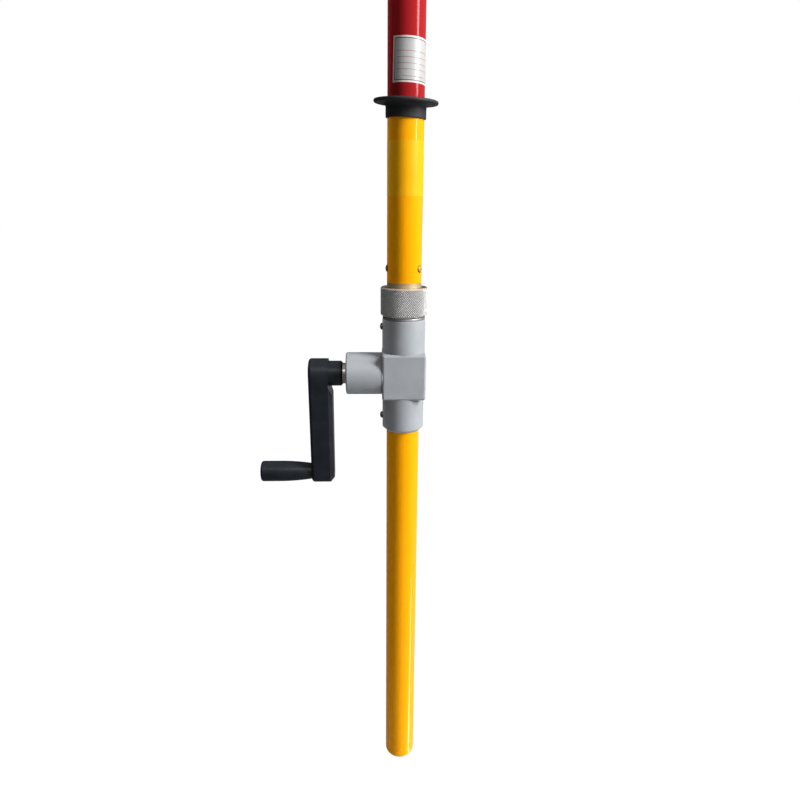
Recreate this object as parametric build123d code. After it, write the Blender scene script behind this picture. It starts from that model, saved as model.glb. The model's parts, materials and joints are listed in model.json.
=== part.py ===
# Crank-driven insulating hot stick. A yellow butt grip carries a grey cast bevel gearbox with a side crank.
# A knurled union nut joins the gearbox to the upper stick: a yellow grip, a rubber hand guard and a red
# insulating tube, with a turning drive rod inside that ends in a hexagon above a threaded top joint.
# Millimetres, +Z up the stick, crank on the -X side, origin at the middle of the butt's flat end.
import math
import os

from build123d import *

# Fits
slip_fit = 0.05  # radial gap of pieces bonded or slid together
running_fit = 0.06  # radial gap of pieces that turn on each other
end_float = 0.1  # gap along the axis between faces that turn past each other
thread_gap = 0.1  # radial gap between the plain cylinders that stand for two threads

# Drive line and tubes, from the inside out
shaft_diameter = 12.0
socket_wall = 3.0
guide_wall = 1.79
ferrule_wall = 2.0
tube_wall = 3.0
tube_turndown = 0.25  # radial cut on the butt tube's end, where it sits in the gearbox

# Lengths along the stick
grip_length = 403.2  # butt to the gearbox
upper_grip_length = 146.1  # lower end of the upper stick to the colour change
insulating_length = 709.0  # colour change to the top joint
joiner_length = 80.0
plug_length = 42.0  # how far a ferrule reaches into its tube

# Butt plug
butt_edge_radius = 5.0
butt_lip = 9.0
butt_plug_length = 26.0

# Bevel gears, an equal pair
gear_module = 1.5
gear_teeth = 20
gear_face = 6.0
gear_pressure_angle = 20.0
gear_backlash = 0.16
gear_rim = 1.2  # metal behind the teeth
gear_hub_wall = 4.0
gear_hub_length = 5.85
flank_points = 4

# Plain bearings of both shafts
bush_wall = 2.0
bush_flange_rise = 3.0
bush_flange = 2.0
bush_barrel = 8.0
bush_gap = 4.0
washer_thickness = 0.8
ring_thickness = 1.0
ring_rise = 2.6
ring_depth = 0.5

# Gearbox casting
gear_clearance = 0.94
housing_wall = 3.3
socket_sleeve_wall = 4.3
block_margin = 0.4  # block beyond the sleeves, across
block_end_margin = 1.6  # and along the stick
block_edge_radius = 2.2
head_sleeve_length = 31.4
socket_sleeve_length = 34.5
sleeve_chamfer = 3.4
sleeve_lip = 0.5
rim_chamfer = 0.8
boss_chamfer = 1.2

# Seal and clip in the boss
seal_width = 5.0
collar_wall = 3.9
seal_wall = 4.0
clip_thickness = 1.2
clip_depth = 0.9
clip_width = 2.5
clip_gap = 3.5
clip_cover = 0.8

# Union joint
nut_clearance = 0.3
flange_overlap = 0.9
flange_clearance = 0.9
nut_wall = 3.85
nut_gap = 0.3
nut_lip = 1.8
nut_chamfer_radial = 1.6
nut_chamfer_height = 1.0
nut_rim_chamfer = 0.9
spigot_flange = 2.2
spigot_flange_rise = 2.0
thread_length = 21.6
joint_recess = 10.0
ferrule_flange = 3.0
neck_show = 4.2
slip_ring_thickness = 0.8
lug_width = 6.0
lug_height = 2.4
lug_clearance = 0.2

# Hexagon drive
hex_flats = 10.0
hex_length = 19.0
hex_clearance = 0.1
hex_space = 1.5
socket_start = 3.5
socket_web = 3.0
rod_seat = 24.0

# Fasteners
screw_diameter = 3.5
screw_head_diameter = 6.4
screw_head_height = 2.5
screw_bite = 5.0
upper_screw_drop = 7.5  # below the top of the upper sleeve
lower_screw_rise = 14.3  # above the bottom of the lower sleeve
rivet_diameter = 3.2
rivet_head_diameter = 6.6
rivet_head_height = 1.5
rivet_height = 12.8  # from a tube's end
rivet_angles = (-32.0, 76.0, 184.0)
pin_diameter = 3.0
pin_setback = 0.3

# Hand guard
guard_flange_diameter = 56.0
guard_flange = 3.0
guard_collar_wall = 1.5
guard_collar = 11.5
guard_root_radius = 3.5
guard_below_seam = 6.0
guard_fit = 0.1

# Crank
collar_show = 3.4
hub_length = 13.7
hub_wall = 3.0
insert_wall = 3.0
arm_thickness = 18.9  # at the hub
arm_swell = 3.7  # how far the arm stands out towards the gearbox below the hub
arm_swell_edge = 4.5  # width of that swell's sloping border
arm_swell_start = 11.0  # from the shaft's axis to where the swell begins
arm_swell_run = 9.0  # length over which it rises
arm_margin = 2.4  # arm's end beyond the hub
arm_tip_wall = 5.1  # plastic around the spindle's insert
arm_outer_radius = 3.0
crank_radius = 102.0
key_width = 4.0
key_length = 16.0
crank_screw_diameter = 6.0
crank_screw_head = 12.0
crank_screw_head_height = 3.6
crank_screw_bite = 14.0
crank_washer_thickness = 1.6
crank_recess = 5.4

# Crank handle
spindle_diameter = 8.0
spindle_insert_wall = 2.0
spindle_insert_length = 14.0
spindle_head = 12.5
spindle_head_height = 4.0
handle_length = 50.8
handle_neck_diameter = 16.0
handle_end_diameter = 20.6
handle_taper_length = 32.0
handle_neck_flare = 0.14  # how fast the taper opens at the arm
handle_edge_radius = 2.4
handle_recess = 6.0

# Rod guides
guide_length = 20.0
guide_count = 2

# Sizes worked out from those above, inside out
bush_bore = shaft_diameter + 2 * running_fit
bush_diameter = bush_bore + 2 * bush_wall
bush_flange_diameter = bush_diameter + 2 * bush_flange_rise
bush_seat = bush_diameter + 2 * slip_fit
shaft_hole = shaft_diameter + 2 * slip_fit
socket_diameter = shaft_hole + 2 * socket_wall
guide_bore = socket_diameter + 2 * running_fit
ferrule_bore = guide_bore + 2 * guide_wall + 2 * slip_fit
plug_diameter = ferrule_bore + 2 * ferrule_wall
tube_bore = plug_diameter + 2 * slip_fit
tube_diameter = tube_bore + 2 * tube_wall

pitch_radius = gear_module * gear_teeth / 2
cone_length = pitch_radius * math.sqrt(2)
addendum = gear_module
dedendum = 1.25 * gear_module
slope = math.sqrt(0.5)
gear_tip_radius = pitch_radius + addendum * slope
inner_share = 1 - gear_face / cone_length
gear_front = inner_share * (pitch_radius + dedendum * slope)
gear_rim_back = pitch_radius + (dedendum + gear_rim) * slope
gear_back = gear_rim_back + gear_hub_length
gear_hub_diameter = shaft_hole + 2 * gear_hub_wall

cartridge_bore = 2 * (gear_tip_radius + gear_clearance)
head_sleeve_diameter = cartridge_bore + 2 * housing_wall
seated_diameter = tube_diameter - 2 * tube_turndown
socket_bore = seated_diameter + 2 * slip_fit
socket_sleeve_diameter = socket_bore + 2 * socket_sleeve_wall
block_core = max(head_sleeve_diameter, socket_sleeve_diameter)
block_size = block_core + 2 * block_margin
block_half = block_core / 2 + block_end_margin  # half its height
insert_diameter = cartridge_bore - 2 * slip_fit

# Distances from the crossing of the two shafts, along either one
bush_start = gear_back + washer_thickness + end_float
barrel_start = bush_start + bush_flange
outer_barrel_end = barrel_start + 2 * bush_barrel + bush_gap
seal_start = outer_barrel_end + bush_flange + end_float
seal_end = seal_start + seal_width
boss_end = seal_end + clip_thickness + clip_cover
collar_diameter = shaft_hole + 2 * collar_wall
seal_bore = collar_diameter + 2 * running_fit
seal_diameter = seal_bore + 2 * seal_wall
hub_start = boss_end + collar_show
arm_start = hub_start + hub_length
arm_end = arm_start + arm_thickness
crank_shaft_end = arm_end - crank_recess
sleeve_top = block_half + head_sleeve_length

# Union joint, heights above the shaft crossing
nut_lip_bore = tube_diameter + 2 * nut_clearance
ferrule_flange_diameter = nut_lip_bore + 2 * flange_overlap
nut_bore = ferrule_flange_diameter + 2 * flange_clearance
thread_diameter = nut_bore - 2 * thread_gap
nut_diameter = nut_bore + 2 * nut_wall
spigot_flange_diameter = thread_diameter + 2 * spigot_flange_rise
thread_start = sleeve_top + spigot_flange
spigot_top = thread_start + thread_length
flange_top = spigot_top + ferrule_flange
slip_ring_start = flange_top + end_float
nut_lip_start = slip_ring_start + slip_ring_thickness + end_float
nut_bottom = thread_start + nut_gap
nut_top = nut_lip_start + nut_lip
upper_tube_start = nut_top + neck_show
socket_bottom = spigot_top + socket_start
hex_top = spigot_top + hex_length
rod_start = hex_top + hex_space + socket_web
ferrule_top = upper_tube_start + plug_length

# Heights on the upper stick above the shaft crossing
seam = upper_tube_start + upper_grip_length
insulating_top = seam + insulating_length
top_plug_start = insulating_top - plug_length
top_thread_start = insulating_top + spigot_flange
top_spigot_top = top_thread_start + thread_length
top_shoulder = insulating_top + spigot_flange
head_shoulder = top_shoulder - end_float
rod_end = head_shoulder - socket_web
head_bottom = rod_end - rod_seat

# Places in the stick's own frame
crossing_height = grip_length + socket_sleeve_length + block_half
butt_frame = Location((0, 0, 0))
output_line = Location((0, 0, crossing_height))
input_line = Location((0, 0, crossing_height), (0, -90, 0))
crank_hub_diameter = shaft_hole + 2 * insert_wall + 2 * slip_fit + 2 * hub_wall
hub_end_radius = crank_hub_diameter / 2 + arm_margin
spindle_insert_diameter = spindle_diameter + 2 * slip_fit + 2 * spindle_insert_wall
tip_end_radius = spindle_insert_diameter / 2 + arm_tip_wall
handle_start = arm_end + 2 * end_float
handle_end = handle_start + handle_length
spindle_line = input_line * Location((-crank_radius, 0, 0))


# Helpers
def cylinder(diameter, start, end):
    return Pos(0, 0, (start + end) / 2) * Cylinder(diameter / 2, end - start)


def ring(outer, inner, start, end):
    return cylinder(outer, start, end) - cylinder(inner, start, end)


def cross_cylinder(diameter, length, height):
    return Pos(0, 0, height) * Rot(90, 0, 0) * Cylinder(diameter / 2, length)


def radial_cylinder(diameter, inner, outer, height, angle):
    stub = Rot(0, 90, 0) * cylinder(diameter, inner, outer)
    return Pos(0, 0, height) * Rot(0, 0, angle) * stub


def turned(line):
    return revolve(Plane.XZ * make_face(line), Axis.Z)


def dome_arc(radius, low, high):
    rise = high - low
    ball = (radius**2 + rise**2) / (2 * rise)
    half = math.asin(radius / ball) / 2
    return ThreePointArc((radius, low), (ball * math.sin(half), high - ball * (1 - math.cos(half))), (0, high))


def hexagon(flats, start, end):
    prism = extrude(RegularPolygon(flats / 2, 6, major_radius=False), end - start)
    return Pos(0, 0, start) * prism


def clip_gap_cut(outer, start, end):
    return Pos(outer / 2, 0, (start + end) / 2) * Box(outer, clip_gap, end - start)


# Bevel gears
def involute(angle):
    return math.tan(angle) - angle


def tooth_section(share):
    # The flank is the involute of the gear's back cone, laid in a plane square to the pitch line.
    back_radius = pitch_radius / slope
    base_radius = back_radius * math.cos(math.radians(gear_pressure_angle))
    half_pitch = (math.pi * gear_module / 2 - gear_backlash / 2) / (2 * back_radius)
    pitch_roll = involute(math.radians(gear_pressure_angle))
    flank = []
    for step in range(flank_points):
        radius = base_radius + (back_radius + addendum - base_radius) * step / (flank_points - 1)
        half_angle = half_pitch + pitch_roll - involute(math.acos(base_radius / radius))
        flank.append((radius * math.sin(half_angle), radius * math.cos(half_angle) - back_radius))
    root = -dedendum - gear_rim / 3
    right = [(flank[0][0], root)] + flank
    left = [(-x, y) for x, y in reversed(right)]
    outline = make_face(Polyline(*[(x * share, y * share) for x, y in right + left], close=True))
    reach = pitch_radius * share
    return Plane((reach, 0, reach), x_dir=(0, -1, 0), z_dir=(1, 0, 1)) * outline


def gear_blank():
    root_out = (pitch_radius - dedendum * slope, pitch_radius + dedendum * slope)
    root_in = (inner_share * root_out[0], gear_front)
    rim = (root_out[0] - gear_rim * slope, gear_rim_back)
    hub = gear_hub_diameter / 2
    bore = shaft_hole / 2
    back = [(hub, gear_rim_back), (hub, gear_back), (bore, gear_back), (bore, gear_front)]
    return turned(Polyline(root_in, root_out, rim, *back, close=True))


def bevel_gear(turn):
    tooth = loft([tooth_section(1), tooth_section(inner_share)], ruled=True)
    pitch_angle = 360 / gear_teeth
    teeth = [Rot(0, 0, turn + i * pitch_angle) * tooth for i in range(gear_teeth)]
    hub_middle = (gear_rim_back + gear_back) / 2
    hole = cross_cylinder(pin_diameter + 2 * slip_fit, gear_hub_diameter, hub_middle)
    return gear_blank() + teeth - hole


def gear_pin():
    return cross_cylinder(pin_diameter, gear_hub_diameter - 2 * pin_setback, (gear_rim_back + gear_back) / 2)


def pinned_shaft(end):
    hole = cross_cylinder(pin_diameter + 2 * slip_fit, shaft_diameter, (gear_rim_back + gear_back) / 2)
    return cylinder(shaft_diameter, gear_front, end) - hole


# Plain bearings, shared by both shafts
def thrust_washer():
    return ring(bush_flange_diameter, shaft_hole, gear_back, gear_back + washer_thickness)


def flanged_bush(flange_start, flange_end, barrel_low, barrel_high):
    flange = ring(bush_flange_diameter, bush_bore, flange_start, flange_end)
    return flange + ring(bush_diameter, bush_bore, barrel_low, barrel_high)


def inner_bush():
    return flanged_bush(bush_start, barrel_start, barrel_start, barrel_start + bush_barrel)


def joint_bush(top):
    seat = top - joint_recess
    return flanged_bush(seat, seat + bush_flange, seat - bush_barrel, seat)


def ring_heights(top):
    low = top - joint_recess + bush_flange + end_float
    return low, low + ring_thickness


def shaft_ring(top):
    low, high = ring_heights(top)
    groove = shaft_diameter - 2 * ring_depth
    outer = shaft_diameter + 2 * ring_rise
    return ring(outer, groove, low, high) - clip_gap_cut(outer, low, high)


def shaft_ring_groove(top):
    low, high = ring_heights(top)
    return ring(2 * shaft_diameter, shaft_diameter - 2 * ring_depth, low, high)


# Butt grip
def lower_grip_tube():
    body = cylinder(tube_diameter, butt_lip, grip_length)
    body += cylinder(seated_diameter, grip_length, grip_length + socket_sleeve_length)
    body -= cylinder(tube_bore, butt_lip, grip_length + socket_sleeve_length)
    inner = tube_diameter / 2 - tube_wall - slip_fit
    outer = tube_diameter / 2 + slip_fit
    height = grip_length + lower_screw_rise
    return body - radial_cylinder(screw_diameter + 2 * slip_fit, inner, outer, height, 180)


def butt_plug():
    radius = tube_diameter / 2
    flat = radius - butt_edge_radius
    middle = butt_edge_radius * (1 - slope)
    corner = ThreePointArc(
        (flat, 0), (radius - middle, middle), (radius, butt_edge_radius)
    )
    stem = plug_diameter / 2
    rest = Polyline(
        (radius, butt_edge_radius),
        (radius, butt_lip),
        (stem, butt_lip),
        (stem, butt_plug_length),
        (stem - ferrule_wall, butt_plug_length),
        (stem - ferrule_wall, butt_lip),
        (0, butt_lip),
        (0, 0),
        (flat, 0),
    )
    return turned([corner, rest])


# Gearbox casting
def housing_block():
    block = Box(block_size, block_size, 2 * block_half)
    return fillet(block.edges(), block_edge_radius)


def lower_sleeve():
    outer = socket_sleeve_diameter / 2
    lip = socket_bore / 2 + sleeve_lip
    low = -block_half - socket_sleeve_length
    return turned(
        Polyline((0, 0), (outer, 0), (outer, low + sleeve_chamfer), (lip, low), (0, low), close=True)
    )


def head_sleeve(end, chamfer):
    outer = head_sleeve_diameter / 2
    return turned(
        Polyline((0, 0), (outer, 0), (outer, end - chamfer), (outer - chamfer, end), (0, end), close=True)
    )


def gearbox_housing():
    side = Rot(0, -90, 0)
    casting = housing_block() + lower_sleeve()
    casting += head_sleeve(sleeve_top, rim_chamfer) + side * head_sleeve(boss_end, boss_chamfer)
    floor = gear_tip_radius + gear_clearance
    clip_groove = cylinder(cartridge_bore + 2 * clip_depth, seal_end, seal_end + clip_thickness)
    casting -= cylinder(cartridge_bore, -floor, sleeve_top)
    casting -= side * cylinder(cartridge_bore, 0, boss_end)
    casting -= side * clip_groove
    casting -= cylinder(socket_bore, -block_half - socket_sleeve_length, -block_half)
    hole = screw_diameter + 2 * slip_fit
    casting -= radial_cylinder(hole, 0, block_size, sleeve_top - upper_screw_drop, 180)
    casting -= radial_cylinder(hole, 0, block_size, lower_screw_rise - block_half - socket_sleeve_length, 180)
    return output_line * casting


def pan_screw(surface, depth):
    # Local +Z points out of the wall, and the head seats at the wall's surface.
    head = screw_head_diameter / 2
    shank = screw_diameter / 2
    edge = surface + screw_head_height / 2
    top = surface + screw_head_height
    stem = [(0, top), (0, depth), (shank, depth), (shank, surface), (head, surface), (head, edge)]
    return turned([dome_arc(head, edge, top), Polyline(*stem)])


def sleeve_screws():
    upper_wall = head_sleeve_diameter / 2
    lower_wall = socket_sleeve_diameter / 2
    upper = pan_screw(upper_wall, upper_wall - housing_wall - screw_bite)
    lower = pan_screw(lower_wall, tube_bore / 2 + slip_fit)
    side = Rot(0, -90, 0)
    upper_place = output_line * Pos(0, 0, sleeve_top - upper_screw_drop) * side
    lower_place = Pos(0, 0, grip_length + lower_screw_rise) * side
    return Compound([upper_place * upper, lower_place * lower])


# Input shaft line, in the boss
def bearing_carrier():
    bore = bush_seat / 2
    seat = seal_diameter / 2 + slip_fit
    outer = insert_diameter / 2
    line = Polyline(
        (bore, barrel_start),
        (outer, barrel_start),
        (outer, seal_end),
        (seat, seal_end),
        (seat, outer_barrel_end),
        (bore, outer_barrel_end),
        close=True,
    )
    return input_line * turned(line)


def outer_bush():
    flange_end = outer_barrel_end + bush_flange
    return flanged_bush(outer_barrel_end, flange_end, outer_barrel_end - bush_barrel, outer_barrel_end)


def boss_seal():
    return ring(seal_diameter, seal_bore, seal_start, seal_end)


def boss_clip():
    outer = cartridge_bore + 2 * clip_depth - 2 * slip_fit
    inner = cartridge_bore - 2 * clip_width
    end = seal_end + clip_thickness
    return ring(outer, inner, seal_end, end) - clip_gap_cut(outer, seal_end, end)


def key_box(clearance):
    seat = shaft_diameter / 2
    width = key_width + 2 * clearance
    length = key_length + 2 * clearance
    return Pos(seat, 0, hub_start + hub_length) * Box(width, width, length)


def input_shaft():
    tapped = cylinder(
        crank_screw_diameter + 2 * slip_fit, crank_shaft_end - crank_screw_bite, crank_shaft_end
    )
    return pinned_shaft(crank_shaft_end) - key_box(slip_fit) - tapped


def shaft_collar():
    return ring(collar_diameter, shaft_hole, seal_start, hub_start)


# Crank
def crank_insert():
    body = ring(shaft_hole + 2 * insert_wall, shaft_hole, hub_start, crank_shaft_end)
    return body - key_box(slip_fit)


def hub_relief():
    # What is taken off the arm's inner side around the hub, down a slope to where the swell is full.
    level = arm_start
    inner = arm_start - arm_swell
    beyond = hub_end_radius + arm_margin
    slope_end = -arm_swell_start - arm_swell_run
    side = Polyline((beyond, inner), (beyond, level), (-arm_swell_start, level), (slope_end, inner), close=True)
    return extrude(Plane.XZ * make_face(side), beyond, both=True)


def crank_arm():
    ends = Circle(hub_end_radius) + Pos(-crank_radius, 0) * Circle(tip_end_radius)
    arm = extrude(make_hull(ends.edges()), arm_thickness + arm_swell)
    arm = fillet(arm.faces().sort_by(Axis.Z)[-1].edges(), arm_outer_radius)
    inner_face = arm.faces().sort_by(Axis.Z)[0]
    arm = chamfer(inner_face.edges(), arm_swell_edge, arm_swell, reference=inner_face)
    arm = Pos(0, 0, arm_start - arm_swell) * arm - hub_relief()
    arm += cylinder(crank_hub_diameter, hub_start, arm_start + hub_wall)
    hub_rim = arm.faces().sort_by(Axis.Z)[0].edges()
    arm = chamfer(hub_rim, hub_wall / 2)
    insert_hole = shaft_hole + 2 * insert_wall + 2 * slip_fit
    arm -= cylinder(insert_hole, hub_start, arm_end)
    tip = Pos(-crank_radius, 0, 0)
    tip_hole = spindle_insert_diameter + 2 * slip_fit
    arm -= tip * cylinder(tip_hole, arm_end - spindle_insert_length, arm_end)
    return input_line * arm


def crank_washer():
    outer = shaft_hole + 2 * insert_wall
    hole = crank_screw_diameter + 2 * slip_fit
    return ring(outer, hole, crank_shaft_end, crank_shaft_end + crank_washer_thickness)


def crank_screw():
    seat = crank_shaft_end + crank_washer_thickness
    shank = cylinder(crank_screw_diameter, crank_shaft_end - crank_screw_bite, seat)
    head = cylinder(crank_screw_head, seat, seat + crank_screw_head_height)
    socket = hexagon(crank_screw_head / 3, seat + crank_screw_head_height / 2, seat + crank_screw_head_height)
    return head + shank - socket


def spindle_insert():
    hole = spindle_diameter + 2 * slip_fit
    return ring(spindle_insert_diameter, hole, arm_end - spindle_insert_length, arm_end)


def handle_spindle():
    seat = handle_end - handle_recess + end_float
    shank = cylinder(spindle_diameter, arm_end - spindle_insert_length, seat)
    head = cylinder(spindle_head, seat, seat + spindle_head_height)
    socket = hexagon(spindle_head / 2.5, seat + spindle_head_height / 2, seat + spindle_head_height)
    return head + shank - socket


def crank_handle():
    neck = handle_neck_diameter / 2
    end = handle_end_diameter / 2
    taper_end = handle_start + handle_taper_length
    straight = handle_end - handle_edge_radius
    middle = handle_edge_radius * (1 - slope)
    taper = Spline((neck, handle_start), (end, taper_end), tangents=[(handle_neck_flare, 1), (0, 1)])
    edge = ThreePointArc(
        (end, straight), (end - middle, handle_end - middle), (end - handle_edge_radius, handle_end)
    )
    rest = Polyline((end - handle_edge_radius, handle_end), (0, handle_end), (0, handle_start), (neck, handle_start))
    grip = turned([taper, Line((end, taper_end), (end, straight)), edge, rest])
    grip -= cylinder(spindle_diameter + 2 * running_fit, handle_start, handle_end)
    return grip - cylinder(spindle_head + 2 * end_float, handle_end - handle_recess, handle_end)


# Union joint
def joint_slots(top):
    slot = Box(2 * thread_diameter, lug_width + 2 * lug_clearance, 2 * (lug_height + lug_clearance))
    return Rot(0, 0, 90) * Pos(0, 0, top) * slot


def joint_end(base, top):
    # The flange and threaded end that a union nut screws onto, with the recess and slots of its end face.
    end = cylinder(spigot_flange_diameter, base, base + spigot_flange)
    end += cylinder(thread_diameter, base + spigot_flange, top)
    recess = bush_flange_diameter + 2 * slip_fit
    return end - cylinder(recess, top - joint_recess, top) - joint_slots(top)


def joint_spigot():
    spigot = cylinder(insert_diameter, barrel_start, sleeve_top) + joint_end(sleeve_top, spigot_top)
    spigot -= cylinder(bush_seat, barrel_start, spigot_top)
    hole = screw_diameter + 2 * slip_fit
    wall = head_sleeve_diameter / 2
    inner = wall - housing_wall - screw_bite
    spigot -= radial_cylinder(hole, inner, wall, sleeve_top - upper_screw_drop, 180)
    return output_line * spigot


def coupling_nut():
    outer = nut_diameter / 2
    bore = nut_bore / 2
    lip = nut_lip_bore / 2
    line = Polyline(
        (bore, nut_bottom),
        (outer - nut_chamfer_radial, nut_bottom),
        (outer, nut_bottom + nut_chamfer_height),
        (outer, nut_top - nut_rim_chamfer),
        (outer - nut_rim_chamfer, nut_top),
        (lip, nut_top),
        (lip, nut_lip_start),
        (bore, nut_lip_start),
        close=True,
    )
    return output_line * turned(line)


def nut_slip_ring():
    outer = nut_bore - 2 * slip_fit
    return output_line * ring(outer, nut_lip_bore, slip_ring_start, slip_ring_start + slip_ring_thickness)


def lower_ferrule():
    body = cylinder(ferrule_flange_diameter, spigot_top, flange_top)
    body += cylinder(tube_diameter, flange_top, upper_tube_start)
    body += cylinder(plug_diameter, upper_tube_start, ferrule_top)
    lugs = Pos(0, 0, spigot_top - lug_height / 2) * Box(lug_width, ferrule_flange_diameter, lug_height)
    lugs &= cylinder(ferrule_flange_diameter, spigot_top - lug_height, spigot_top)
    lug_bore = bush_flange_diameter + 2 * slip_fit
    body += lugs - cylinder(lug_bore, spigot_top - lug_height, spigot_top)
    body -= cylinder(ferrule_bore, spigot_top, ferrule_top)
    return output_line * (body - rivet_holes(upper_tube_start + rivet_height))


# Rivets of both ferrules
def rivet_inner():
    return ferrule_bore / 2 + slip_fit


def rivet_holes(height):
    hole = rivet_diameter + 2 * slip_fit
    outer = tube_diameter
    return [radial_cylinder(hole, 0, outer, height, angle) for angle in rivet_angles]


def rivets(height):
    surface = tube_diameter / 2
    head = rivet_head_diameter / 2
    top = surface + rivet_head_height
    base = Polyline((0, top), (0, surface), (head, surface))
    dome = Rot(0, 90, 0) * turned([dome_arc(head, surface, top), base])
    rivet = dome + radial_cylinder(rivet_diameter, rivet_inner(), surface + rivet_head_height / 2, 0, 0)
    return output_line * Compound([Pos(0, 0, height) * Rot(0, 0, angle) * rivet for angle in rivet_angles])


# Upper stick
def upper_grip_tube():
    body = ring(tube_diameter, tube_bore, upper_tube_start, seam)
    return output_line * (body - rivet_holes(upper_tube_start + rivet_height))


def insulating_tube():
    body = ring(tube_diameter, tube_bore, seam, insulating_top)
    return output_line * (body - rivet_holes(insulating_top - rivet_height))


def tube_joiner():
    half = joiner_length / 2
    return output_line * ring(plug_diameter, ferrule_bore, seam - half, seam + half)


def hand_guard():
    bore = tube_diameter / 2 + guard_fit
    collar = bore + guard_collar_wall
    low = seam - guard_below_seam
    under = low + guard_collar
    root = guard_root_radius
    half = guard_flange / 2
    rim = guard_flange_diameter / 2 - half
    bend = root * (1 - slope)
    outline = [
        Polyline((bore, low), (collar, low), (collar, under - root)),
        ThreePointArc((collar, under - root), (collar + bend, under - bend), (collar + root, under)),
        Line((collar + root, under), (rim, under)),
        ThreePointArc((rim, under), (rim + half, under + half), (rim, under + guard_flange)),
        Polyline((rim, under + guard_flange), (bore, under + guard_flange), (bore, low)),
    ]
    return output_line * turned(outline)


def ferrule_guide():
    start = ferrule_top - guide_length
    return output_line * ring(ferrule_bore - 2 * slip_fit, guide_bore, start, ferrule_top)


def rod_guides():
    outer = tube_bore - 2 * slip_fit
    bore = shaft_diameter + 2 * running_fit
    span = (insulating_top - seam) / (guide_count + 1)
    middles = [seam + span * (i + 1) for i in range(guide_count)]
    half = guide_length / 2
    return output_line * Compound([ring(outer, bore, m - half, m + half) for m in middles])


def top_spigot():
    body = cylinder(plug_diameter, top_plug_start, insulating_top) + joint_end(insulating_top, top_spigot_top)
    body -= cylinder(ferrule_bore, top_plug_start, top_shoulder)
    body -= cylinder(bush_seat, top_shoulder, top_spigot_top)
    return output_line * (body - rivet_holes(insulating_top - rivet_height))


# Output shaft and drive rod
def hex_ended_shaft(shaft, top):
    return shaft - shaft_ring_groove(top) + hexagon(hex_flats, top, top + hex_length)


def output_shaft():
    return output_line * hex_ended_shaft(pinned_shaft(spigot_top), spigot_top)


def rod_pin_hole(height):
    return cross_cylinder(pin_diameter + 2 * slip_fit, socket_diameter, height)


def drive_socket():
    body = cylinder(socket_diameter, socket_bottom, rod_start + rod_seat)
    body -= hexagon(hex_flats + 2 * hex_clearance, socket_bottom, hex_top + hex_space)
    body -= cylinder(shaft_hole, rod_start, rod_start + rod_seat)
    return output_line * (body - rod_pin_hole(rod_start + rod_seat / 2))


def drive_rod():
    body = cylinder(shaft_diameter, rod_start, rod_end)
    body -= rod_pin_hole(rod_start + rod_seat / 2)
    return output_line * (body - rod_pin_hole(rod_end - rod_seat / 2))


def drive_head():
    body = cylinder(socket_diameter, head_bottom, head_shoulder)
    body -= cylinder(shaft_hole, head_bottom, rod_end)
    body -= rod_pin_hole(rod_end - rod_seat / 2)
    body += cylinder(shaft_diameter, head_shoulder, top_spigot_top)
    return output_line * hex_ended_shaft(body, top_spigot_top)


def rod_pins():
    heights = (rod_start + rod_seat / 2, rod_end - rod_seat / 2)
    length = socket_diameter - 2 * pin_setback
    return output_line * Compound([cross_cylinder(pin_diameter, length, h) for h in heights])


half_pitch_turn = 180 / gear_teeth
pieces = {
    "butt_plug": butt_plug(),
    "lower_grip_tube": lower_grip_tube(),
    "gearbox_housing": gearbox_housing(),
    "sleeve_screws": sleeve_screws(),
    "bearing_carrier": bearing_carrier(),
    "input_inner_bush": input_line * inner_bush(),
    "input_outer_bush": input_line * outer_bush(),
    "boss_seal": input_line * boss_seal(),
    "boss_clip": input_line * boss_clip(),
    "input_shaft": input_line * input_shaft(),
    "input_gear": input_line * bevel_gear(0),
    "input_gear_pin": input_line * gear_pin(),
    "input_thrust_washer": input_line * thrust_washer(),
    "shaft_collar": input_line * shaft_collar(),
    "crank_key": input_line * key_box(0),
    "crank_insert": input_line * crank_insert(),
    "crank_arm": crank_arm(),
    "crank_washer": input_line * crank_washer(),
    "crank_screw": input_line * crank_screw(),
    "spindle_insert": spindle_line * spindle_insert(),
    "handle_spindle": spindle_line * handle_spindle(),
    "crank_handle": spindle_line * crank_handle(),
    "output_shaft": output_shaft(),
    "output_gear": output_line * bevel_gear(half_pitch_turn),
    "output_gear_pin": output_line * gear_pin(),
    "output_thrust_washer": output_line * thrust_washer(),
    "output_lower_bush": output_line * inner_bush(),
    "output_upper_bush": output_line * joint_bush(spigot_top),
    "output_shaft_ring": output_line * shaft_ring(spigot_top),
    "joint_spigot": joint_spigot(),
    "coupling_nut": coupling_nut(),
    "nut_slip_ring": nut_slip_ring(),
    "lower_ferrule": lower_ferrule(),
    "ferrule_guide": ferrule_guide(),
    "lower_rivets": rivets(upper_tube_start + rivet_height),
    "upper_grip_tube": upper_grip_tube(),
    "tube_joiner": tube_joiner(),
    "hand_guard": hand_guard(),
    "insulating_tube": insulating_tube(),
    "rod_guides": rod_guides(),
    "drive_socket": drive_socket(),
    "drive_rod": drive_rod(),
    "rod_pins": rod_pins(),
    "drive_head": drive_head(),
    "drive_head_ring": output_line * shaft_ring(top_spigot_top),
    "top_bush": output_line * joint_bush(top_spigot_top),
    "top_spigot": top_spigot(),
    "top_rivets": rivets(insulating_top - rivet_height),
}

os.makedirs("parts", exist_ok=True)
for name, piece in pieces.items():
    export_step(piece, f"parts/{name}.step")
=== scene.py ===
import json
import math

import bmesh
import bpy
from mathutils import Matrix, Vector


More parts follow.
